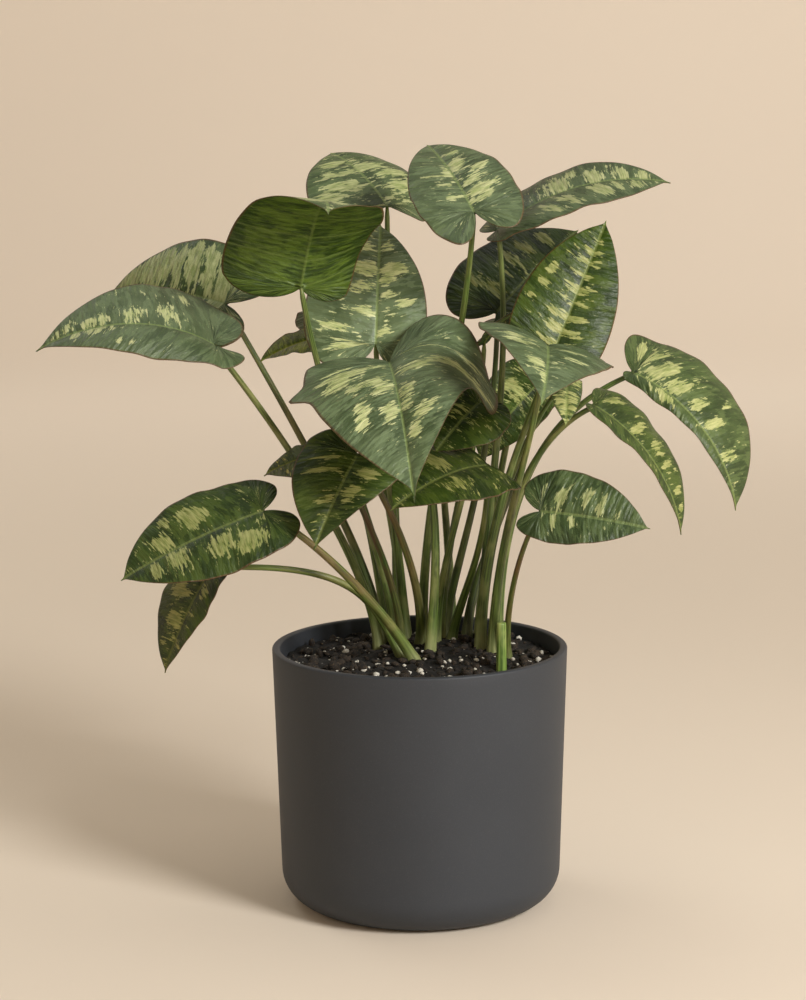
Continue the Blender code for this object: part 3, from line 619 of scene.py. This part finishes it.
def blade_points(leaf, side, x, y):
    """Points of one half of the blade, x mm from the midrib and y lengths along, arched and folded."""
    length, along, across, up = blade_axes(leaf)
    arch = np.radians(leaf["arch"])
    radius = length / (2 * np.sin(arch / 2))
    bend = arch * (np.maximum(y, 0) - 0.5)
    behind = np.minimum(y, 0)
    reach = np.maximum(-behind / LOBE_BEND, 1e-6)
    hang = np.radians(leaf["hang"])
    slope = hang + (arch / 2 - hang) * (1 - np.exp(-reach)) / reach
    run = radius * (np.sin(bend) + np.sin(arch / 2)) + behind * length * np.cos(slope)
    lift = radius * (np.cos(bend) - np.cos(arch / 2)) + behind * length * np.sin(slope)
    sign = 1 if side else -1
    half = leaf["half"][side]
    share = x / half
    lobe = np.clip((LOBE_REACH - y) / (LOBE_REACH + 0.2), 0, 1)
    fold = np.radians(side_value(leaf, "fold", side) - side_value(leaf, "ears", side) * lobe)
    turn = -np.radians(side_value(leaf, "curl", side)) / half
    out = sign * (np.sin(fold + turn * x) - np.sin(fold)) / turn
    rise = -(np.cos(fold + turn * x) - np.cos(fold)) / turn
    rise += share ** 2 * np.sin(2 * np.pi * (EDGE_WAVES * y + 0.35 * side))
    drooping_side, centre, spread, down = leaf["droop"]
    rise -= (drooping_side == side) * down * share ** 3 * np.exp(-((y - centre) / spread) ** 2)
    ripple = RIPPLES * y + 0.5 * side + 0.01 * leaf["joint"][0]
    rise += RIPPLE_HEIGHT * share ** 3 * np.sin(2 * np.pi * ripple)
    twist = np.radians(leaf["twist"]) * y
    out, rise = out * np.cos(twist) - rise * np.sin(twist), out * np.sin(twist) + rise * np.cos(twist)
    tilted = np.sin(bend)[..., None] * along + np.cos(bend)[..., None] * up
    return (np.array(leaf["joint"], float) + run[..., None] * along + lift[..., None] * up
            + out[..., None] * across + rise[..., None] * tilted)


def smooth_line(points, steps):
    """A rounded curve through points, with this many steps for each span."""
    p = np.array(points, float)
    p = np.vstack([2 * p[0] - p[1], p, 2 * p[-1] - p[-2]])
    t = (np.arange(steps) / steps)[:, None]
    spans = [0.5 * (2 * b + (c - a) * t + (2 * a - 5 * b + 4 * c - d) * t ** 2
                    + (3 * b - a - 3 * c + d) * t ** 3)
             for a, b, c, d in zip(p[:-3], p[1:-2], p[2:-1], p[3:])]
    return np.vstack([*spans, p[-2]])


def patch_field(look, side, place, share):
    """How strongly the leaf's own patches call for cream, over one half."""
    patches = list(look.get(("left", "right")[side], ()))
    if "ladder" in look:
        first, last, count, middle = look["ladder"]
        centres = np.linspace(first, last, count)
        patches += [(centre, middle, LADDER_WIDTH, LADDER_LENGTH) for centre in centres]
    call = 0.0
    for centre, middle, wide, long in patches:
        far = ((place - centre) / wide) ** 2 + ((share - middle) / long) ** 2
        call = np.maximum(call, np.exp(-far ** 1.5))
    return look["cream"] + PATCH_CALL * call - MARGIN_CALL * np.clip((share - 0.75) / 0.25, 0, 1)


def side_by_side(shape, *values):
    """One row of these values for each point of a grid of this shape."""
    return np.stack([np.broadcast_to(value, shape) for value in values], -1).reshape(-1, len(values))


def sheet_faces(ids):
    """The quads of a grid of point numbers, and triangles where two of a quad's points are one."""
    faces = []
    for row, next_row in zip(ids, ids[1:]):
        for column in range(len(row) - 1):
            ring = (row[column], row[column + 1], next_row[column + 1], next_row[column])
            ring = tuple(dict.fromkeys(int(i) for i in ring))
            if len(ring) > 2:
                faces.append(ring)
    return faces


def blade_sheet(leaf, look, seed):
    """The blade's middle surface: points, quads that face up, edges, and what the material reads."""
    edge_x, edge_y = smooth_line(HALF_OUTLINE, OUTLINE_STEPS).T
    length, _, _, up = blade_axes(leaf)
    middle_y = (outline_length(leaf, 0, edge_y) + outline_length(leaf, 1, edge_y)) / 2
    foot_y = np.maximum(0.0, (middle_y - FAN_END) / (1 - FAN_END))
    width = sum(leaf["half"]) / 2
    steps = np.hypot(np.diff(edge_x * width), np.diff(edge_y * length))
    along = np.concatenate([[0], np.cumsum(steps)])[:, None]
    place = along / along[-1]
    pillow = np.abs(np.sin(np.pi * VEINS * place)) ** 0.8
    points, veins, looks, ids = [], [], [], []
    for side, sign in enumerate((-1, 1)):
        own_x = outline_width(leaf, side, edge_x, edge_y) * leaf["half"][side]
        own_y = outline_length(leaf, side, edge_y)
        x = np.outer(own_x, SHARES)
        y = foot_y[:, None] + np.outer(own_y - foot_y, SHARES ** RIB_SWEEP)
        reach = np.hypot(own_x, (own_y - foot_y) * length)[:, None] * SHARES
        fade = np.clip(reach / RELIEF_FADE, 0, 1) * (1 - SHARES ** 6)
        relief = (VEIN_RELIEF * (pillow - 0.5) * fade)[..., None] * up
        points.append((blade_points(leaf, side, np.maximum(x, 1e-6), y) + relief).reshape(-1, 3))
        veins.append(side_by_side(x.shape, along, sign * reach, LEAF_SHIFT * seed))
        looks.append(side_by_side(x.shape, patch_field(look, side, place, SHARES), SHARES, 0.0))
        ids.append(np.arange(x.size).reshape(x.shape) + side * x.size)
    left, right = ids
    left[:, 0] = right[:, 0]
    fan = foot_y <= 0
    for half in ids:
        half[fan, 0] = right[0, 0]
        half[0, :] = right[0, 0]
        half[-1, :] = right[-1, 0]
    edge = [int(i) for i in (*right[:, -1], *left[-2:0:-1, -1])]
    faces = [face[::-1] for face in sheet_faces(left)] + sheet_faces(right)
    return np.vstack(points), faces, edge, np.vstack(veins), np.vstack(looks)


def drop_unused(points, faces, edge, *values):
    """Leaves out the points that no face uses."""
    used = sorted({i for face in faces for i in face})
    number = {old: new for new, old in enumerate(used)}
    faces = [tuple(number[i] for i in face) for face in faces]
    return points[used], faces, [number[i] for i in edge], *(value[used] for value in values)


def surface_normals(points, faces):
    """The unit normal at each point of a sheet, the mean of its faces' normals by their size."""
    normals = np.zeros(points.shape)
    for face in faces:
        a, b, c, d = points[[*face[:3], face[-1]]]
        normals[list(face)] += np.cross(c - a, d - b)
    return normals / np.maximum(np.linalg.norm(normals, axis=1), 1e-9)[:, None]


def build_leaf(leaf, material, seed):
    """A blade with a thin margin, its midrib sunk into the upper side and standing out below."""
    look = PLAIN_LOOK | LOOKS.get(leaf["name"], {})
    points, faces, edge, veins, looks = drop_unused(*blade_sheet(leaf, look, seed))
    normals = surface_normals(points, faces)
    share = looks[:, 1]
    far = np.clip(veins[:, 0] / veins[:, 0].max(), 0, 1)
    half_thickness = MARGIN_HALF_THICKNESS + (BLADE_HALF_THICKNESS - MARGIN_HALF_THICKNESS) * (1 - share ** 4)
    rib = np.exp(-(veins[:, 1] / RIB_WIDTH) ** 2)
    top = points + normals * (half_thickness - RIB_GROOVE * rib)[:, None]
    bottom = points - normals * (half_thickness + RIB_DEPTH * rib * (1 - RIB_TAPER * far))[:, None]
    count = len(points)
    solid = list(faces) + [tuple(i + count for i in face[::-1]) for face in faces]
    for a, b in zip(edge, edge[1:] + edge[:1]):
        solid.append((b, a, a + count, b + count))
    name = "leaf_" + leaf["name"]
    piece = add_piece(name + "_blade", np.vstack([top, bottom]), solid, material, name, "leaf")
    add_values(piece, "vein", np.vstack([veins, veins]))
    add_values(piece, "look", np.vstack([looks, looks + (0, 0, 1)]))
    # The painted sheen, the own yellowing and the painted light and shade of this leaf, for the material
    add_values(piece, "gold_and_painted_light", np.tile((look["painted_sheen"], look["gold"], look["light"]), (2 * count, 1)))


def soil_height(x, y):
    """The soil's smooth height, a low mound round the plant's crown."""
    distance = np.hypot(x - CROWN[0], y - CROWN[1])
    return SOIL_LEVEL + SOIL_MOUND * np.exp(-(distance / SOIL_MOUND_SPREAD) ** 2)


def stalk_path(leaf, steps):
    """Points of a stalk from its buried foot up to the underside of its blade."""
    _, along, _, up = blade_axes(leaf)
    half_arch = np.radians(leaf["arch"]) / 2
    outward = np.cos(half_arch) * up - np.sin(half_arch) * along
    end = np.array(leaf["joint"], float) - outward * STALK_END_GAP
    ground = np.array([*leaf["foot"], soil_height(*leaf["foot"])])
    handle_low = ground + leaf["rise"]
    handle_high = end + leaf["drop"]
    t = np.linspace(0, 1, steps)[:, None]
    above = ((1 - t) ** 3 * ground + 3 * t * (1 - t) ** 2 * handle_low
             + 3 * t * t * (1 - t) * handle_high + t ** 3 * end)
    buried = ground - unit(leaf["rise"]) * ROOT_DEPTH
    return np.vstack([buried, above])


def ring_faces(rings, sides, start=0):
    """Quads that join rings of points to each other, from the point with the start number on."""
    faces = []
    for ring in range(rings - 1):
        for i in range(sides):
            a, b = (start + ring * sides + k % sides for k in (i, i + 1))
            faces.append((a, b, b + sides, a + sides))
    return faces


def tube(path, radii, sides, channel=0.0):
    """Points and faces of a closed tube, with a shallow groove down one side."""
    ahead = np.gradient(path, axis=0)
    side = unit(np.cross(ahead[0], (0.3, 1.0, 0.1)))
    turns = 2 * np.pi * np.arange(sides) / sides
    points = []
    for centre, tangent, radius in zip(path, ahead, radii):
        tangent = unit(tangent)
        side = unit(side - side.dot(tangent) * tangent)
        other = np.cross(tangent, side)
        reach = radius * (1 - channel * np.exp(-(np.cos(turns) - 1) ** 2 / CHANNEL_WIDTH))
        points.append(centre + reach[:, None] * (np.cos(turns)[:, None] * side
                                                 + np.sin(turns)[:, None] * other))
    first = range(sides)
    last = range((len(path) - 1) * sides, len(path) * sides)
    return np.vstack(points), [*ring_faces(len(path), sides), tuple(reversed(first)), tuple(last)]


def add_stalk(name, path, radii, material, seed, brown, light, node):
    """A grooved stalk along a path, with what its material reads."""
    points, faces = tube(path, radii, STALK_SIDES, STALK_CHANNEL)
    piece = add_piece(name, points, faces, material, node, "stalk")
    shape = (len(path), STALK_SIDES)
    gone = np.concatenate([[0], np.cumsum(np.linalg.norm(np.diff(path, axis=0), axis=1))])[:, None]
    height = gone / gone[-1]
    turns = np.abs(np.linspace(-1, 1, STALK_SIDES, endpoint=False))
    add_values(piece, "vein", side_by_side(shape, turns * 6, gone, STALK_SHIFT * seed))
    add_values(piece, "look", side_by_side(shape, height, brown * np.clip(height * 2, 0, 1), light))


def build_stalk(leaf, material, seed):
    """A leaf's stalk, thickest at its foot."""
    name = "stalk_" + leaf["name"]
    path = stalk_path(leaf, STALK_STEPS)
    foot_radius, top_radius = leaf["thick"]
    t = np.linspace(0, 1, STALK_STEPS)
    radii = top_radius + (foot_radius - top_radius) * (1 - t) ** STALK_TAPER
    radii *= 1 + STALK_FLARE * np.exp(-t / STALK_FLARE_REACH)
    radii[-1] = top_radius * STALK_END_SHARE
    radii = np.concatenate([[foot_radius], radii])
    brown, light = STALK_LOOKS.get(leaf["name"], (0.2, 1.0))
    add_stalk(name + "_stem", path, radii, material, seed, brown, light, name)


def build_stub(material):
    """What is left of a cut-off stalk, a little thinner at the top."""
    ground = np.array([*STUB_FOOT, soil_height(*STUB_FOOT)])
    heights = np.array([-ROOT_DEPTH, 0, 4, 9, 14, 19, 23, 26, STUB_HEIGHT - 1])
    path = ground + np.outer(heights, (0.0, 0.0, 1.0))
    radii = STUB_RADIUS * np.array([1, 1.05, 1, 0.96, 0.94, 0.93, 0.92, 0.9, 0.84])
    add_stalk("stub_stem", path, radii, material, STUB_SEED, 0.0, STUB_LIGHT, "stalk_stub")


def arc(radius, height, rounding, start, end, steps):
    """Points of a rounding's arc between two angles in degrees, as (radius, height) pairs."""
    angles = np.radians(np.linspace(start, end, steps))
    return [(radius + rounding * np.cos(a), height + rounding * np.sin(a)) for a in angles]


def turned(profile, segments):
    """Points and faces of a closed profile of (radius, height) pairs turned round the Z axis."""
    points = [(0.0, 0.0, profile[0][1])]
    turns = 2 * np.pi * np.arange(segments) / segments
    for radius, height in profile[1:-1]:
        points += [(radius * np.cos(a), radius * np.sin(a), height) for a in turns]
    points.append((0.0, 0.0, profile[-1][1]))
    loops = len(profile) - 2
    last = 1 + (loops - 1) * segments
    faces = ring_faces(loops, segments, start=1)
    for i in range(segments):
        j = (i + 1) % segments
        faces += [(0, 1 + j, 1 + i), (last + i, last + j, len(points) - 1)]
    return points, faces


def build_pot(material):
    """The round pot, with a rounded lower edge and a soft lip."""
    edge, lip = POT_EDGE_ROUNDING, POT_LIP_ROUNDING
    inner_edge, foot = edge - POT_WALL, POT_FOOT_RADIUS - edge
    profile = [(0.0, 0.0), (foot * 0.5, 0.0)]
    profile += arc(foot, edge, edge, -90, 0, 14)
    profile += [(POT_FOOT_RADIUS + (POT_TOP_RADIUS - POT_FOOT_RADIUS) * t, edge + (POT_HEIGHT - edge) * t)
                for t in np.linspace(0.1, 0.95, 9)]
    profile += arc(POT_TOP_RADIUS - lip, POT_HEIGHT - lip, lip, 0, 90, 6)
    profile += arc(POT_TOP_RADIUS - POT_WALL + lip, POT_HEIGHT - lip, lip, 90, 180, 6)
    profile += arc(foot, POT_FLOOR + inner_edge, inner_edge, 0, -90, 6)
    profile += [(0.0, POT_FLOOR)]
    add_piece("cover_pot", *turned(profile, POT_SEGMENTS), material, "pot", "pot")


def inner_radius(height):
    """The pot's inside radius at a height above the rounded edge."""
    share = (height - POT_EDGE_ROUNDING) / (POT_HEIGHT - POT_EDGE_ROUNDING)
    return POT_FOOT_RADIUS - POT_WALL + share * (POT_TOP_RADIUS - POT_FOOT_RADIUS)


def clod_height(x, y):
    """How far the crumbly surface stands above or below the smooth soil."""
    place = Vector((x, y, 0.0))
    lumps = noise.fractal(place / CLOD_SIZE, 0.9, 2.1, 5)
    holes = noise.noise(place / HOLE_SIZE + Vector((40, 7, 3)))
    return SOIL_CLODS * (lumps - HOLE_DEPTH * max(0.0, holes))


def ground_height(x, y):
    return soil_height(x, y) + clod_height(x, y)


def build_soil(material):
    """The crumbly soil that fills the pot."""
    rim = inner_radius(SOIL_LEVEL) - SOIL_GAP
    inner_edge = POT_EDGE_ROUNDING - POT_WALL
    foot = POT_FOOT_RADIUS - POT_EDGE_ROUNDING
    profile = [(0.0, 0.0)] + [(rim * ring / SOIL_RINGS, 0.0) for ring in range(1, SOIL_RINGS + 1)]
    profile += [(inner_radius(POT_FLOOR + inner_edge) - 0.7, POT_FLOOR + inner_edge + 1),
                (foot, POT_FLOOR + SOIL_GAP), (0.0, POT_FLOOR + SOIL_GAP)]
    points, faces = turned(profile, SOIL_SEGMENTS)
    points = np.array(points)
    for i in range(1 + SOIL_RINGS * SOIL_SEGMENTS):
        x, y, _ = points[i]
        points[i, 2] = ground_height(x, y)
    add_piece("potting_soil", points, [face[::-1] for face in faces], material, "soil", "soil")


def scatter(count, seed, margin):
    """Places on the soil, clear of the stalks' feet and the pot."""
    chance = random.Random(seed)
    feet = [leaf["foot"] for leaf in LEAVES] + [STUB_FOOT]
    rim = inner_radius(SOIL_LEVEL) - margin
    places = []
    while len(places) < count:
        radius, turn = rim * math.sqrt(chance.random()), chance.uniform(0, 2 * math.pi)
        x, y = radius * math.cos(turn), radius * math.sin(turn)
        if all(math.hypot(x - fx, y - fy) > FOOT_CLEARANCE for fx, fy in feet):
            places.append((x, y, ground_height(x, y)))
    return places, chance


def build_crumbs(name, count, seed, sizes, subdivisions, roundness, material):
    """Many loose lumps in one piece, each a small rough ball stretched and turned at random."""
    places, chance = scatter(count, seed, sizes[1] * 0.5 + 0.5)
    bm = bmesh.new()
    for x, y, z in places:
        long = sizes[0] + (sizes[1] - sizes[0]) * chance.random() ** CRUMB_FINENESS
        stretch = [long, long * chance.uniform(roundness, 1.0), long * chance.uniform(roundness * 0.6, 0.9)]
        turn = Matrix.Rotation(chance.uniform(0, 6.3), 4, "Z")
        turn @= Matrix.Rotation(chance.gauss(0, 0.35), 4, "X")
        made = bmesh.ops.create_icosphere(bm, subdivisions=subdivisions, radius=0.5)["verts"]
        shift = Vector((chance.uniform(0, 90), 0, 0))
        for vert in made:
            rough = 1 + CRUMB_ROUGHNESS * noise.noise(vert.co * 3.5 + shift)
            vert.co = turn @ Vector([c * s * rough for c, s in zip(vert.co, stretch)])
            vert.co = (vert.co + Vector((x, y, z + stretch[2] * CRUMB_RISE))) * MM
    piece = add_piece(name, [], [], material, slot="soil")
    bm.to_mesh(piece.data)
    bm.free()
    piece.data.shade_smooth()


def build_fibres(material):
    """Thin curled root fibres and twigs lying on the soil."""
    places, chance = scatter(FIBRES, 5, 9.0)
    points, faces = [], []
    for x, y, z in places:
        turn = chance.uniform(0, 6.3)
        length = chance.uniform(*FIBRE_LENGTHS)
        bow = chance.uniform(-0.35, 0.35)
        path = []
        for t in np.linspace(-0.5, 0.5, 7):
            px = x + length * (t * math.cos(turn) - bow * (0.25 - t * t) * math.sin(turn))
            py = y + length * (t * math.sin(turn) + bow * (0.25 - t * t) * math.cos(turn))
            path.append((px, py, ground_height(px, py) + 0.5))
        radius = chance.uniform(*FIBRE_RADII)
        own, rings = tube(np.array(path), [radius * s for s in (0.5, 0.9, 1, 1, 1, 0.9, 0.4)], 5)
        faces += [tuple(i + len(points) for i in ring) for ring in rings]
        points += list(own)
    add_piece("root_fibres", points, faces, material, slot="soil")


def floor_material():
    """A pale matt floor whose far parts glow a little, more on the right than on the left."""
    n = Nodes("pale_floor")
    place = n.place()
    tone = n.noise(place, scale=0.6, detail=2.0)
    n.put("Base Color", n.mix(tone, (220, 208, 192), (226, 214, 198)))
    distance = n.add("VectorMath", {0: place}, operation="LENGTH").outputs["Value"]
    from_left = n.step(n.split(place)[0], *STAGE_SIDES)
    side = n.total(n.times(from_left, 1 - STAGE_GLOW_LEFT), STAGE_GLOW_LEFT)
    n.put("Emission Color", (225, 213, 197))
    # Painted light: the floor glows though it is no lamp; its weaker glow on the left is painted shade
    n.put("Emission Strength", n.times(n.step(distance, *STAGE_GLOW_FROM), n.times(side, STAGE_GLOW)))
    n.put("Roughness", 0.9)
    n.put("Specular IOR Level", 0.1)
    return n.material


def build_stage():
    """A pale floor that curves up into a round wall."""
    profile = [(r, 0.0) for r in np.linspace(0.0, STAGE_RADIUS, 8)]
    profile += [(STAGE_RADIUS + STAGE_CURVE * math.sin(a), STAGE_CURVE * (1 - math.cos(a)))
                for a in np.radians(np.linspace(6, 90, 15))]
    profile += [(STAGE_RADIUS + STAGE_CURVE, STAGE_CURVE + STAGE_WALL)]
    turns = 2 * np.pi * np.arange(STAGE_SEGMENTS) / STAGE_SEGMENTS
    points = [(max(radius, 0.001) * np.cos(a), max(radius, 0.001) * np.sin(a), height)
              for radius, height in profile for a in turns]
    faces = [face[::-1] for face in ring_faces(len(profile), STAGE_SEGMENTS)]
    mesh = bpy.data.meshes.new("stage_floor")
    mesh.from_pydata(points, [], faces)
    mesh.shade_smooth()
    mesh.materials.append(floor_material())
    placed("stage_floor", mesh)


def aim(item, place, target, roll=0.0):
    """Puts a lamp or camera in its place and turns it towards the target."""
    item.location = place
    look = (Vector(target) - Vector(place)).to_track_quat("-Z", "Y")
    item.rotation_euler = (look.to_matrix() @ Matrix.Rotation(math.radians(roll), 3, "Z")).to_euler()


def add_lamp(name, place, size, power, colour):
    data = bpy.data.lights.new(name, "AREA")
    data.shape = "DISK"
    data.size = size
    data.energy = power
    data.color = colour
    lamp = placed(name, data)
    lamp.visible_camera = False
    aim(lamp, place, LAMP_AIM)


def build_lights():
    """The lamps, a dim warm room round them, and plain colours in the picture."""
    for lamp in LAMPS:
        add_lamp(*lamp)
    world = bpy.data.worlds.new("soft_room")
    world.use_nodes = True
    sky = world.node_tree.nodes["Background"]
    sky.inputs["Color"].default_value = (*linear(*ROOM_COLOUR), 1)
    sky.inputs["Strength"].default_value = ROOM_STRENGTH
    bpy.context.scene.world = world
    bpy.context.scene.view_settings.view_transform = "Standard"


def build_camera():
    data = bpy.data.cameras.new("camera")
    data.lens = CAMERA_LENS
    data.sensor_width = CAMERA_SENSOR
    camera = placed("camera", data)
    aim(camera, CAMERA_PLACE, CAMERA_AIM, CAMERA_ROLL)
    bpy.context.scene.camera = camera


def main():
    build_stage()
    build_lights()
    build_camera()
    build_pot(pot_material())
    bark = crumb_material("bark")
    build_soil(crumb_material("dark_soil"))
    build_crumbs("bark_chips", BARK_CHIPS, 3, BARK_SIZES, 1, BARK_ROUNDNESS, bark)
    build_crumbs("perlite_grains", PERLITE_GRAINS, 8, PERLITE_SIZES, 2, PERLITE_ROUNDNESS,
                 crumb_material("perlite"))
    build_fibres(bark)
    leaf_skin = leaf_material()
    stalk_skin = stalk_material()
    for seed, own_values in enumerate(LEAVES):
        leaf = PLAIN_LEAF | own_values
        build_leaf(leaf, leaf_skin, seed)
        build_stalk(leaf, stalk_skin, seed)
    build_stub(stalk_skin)


main()
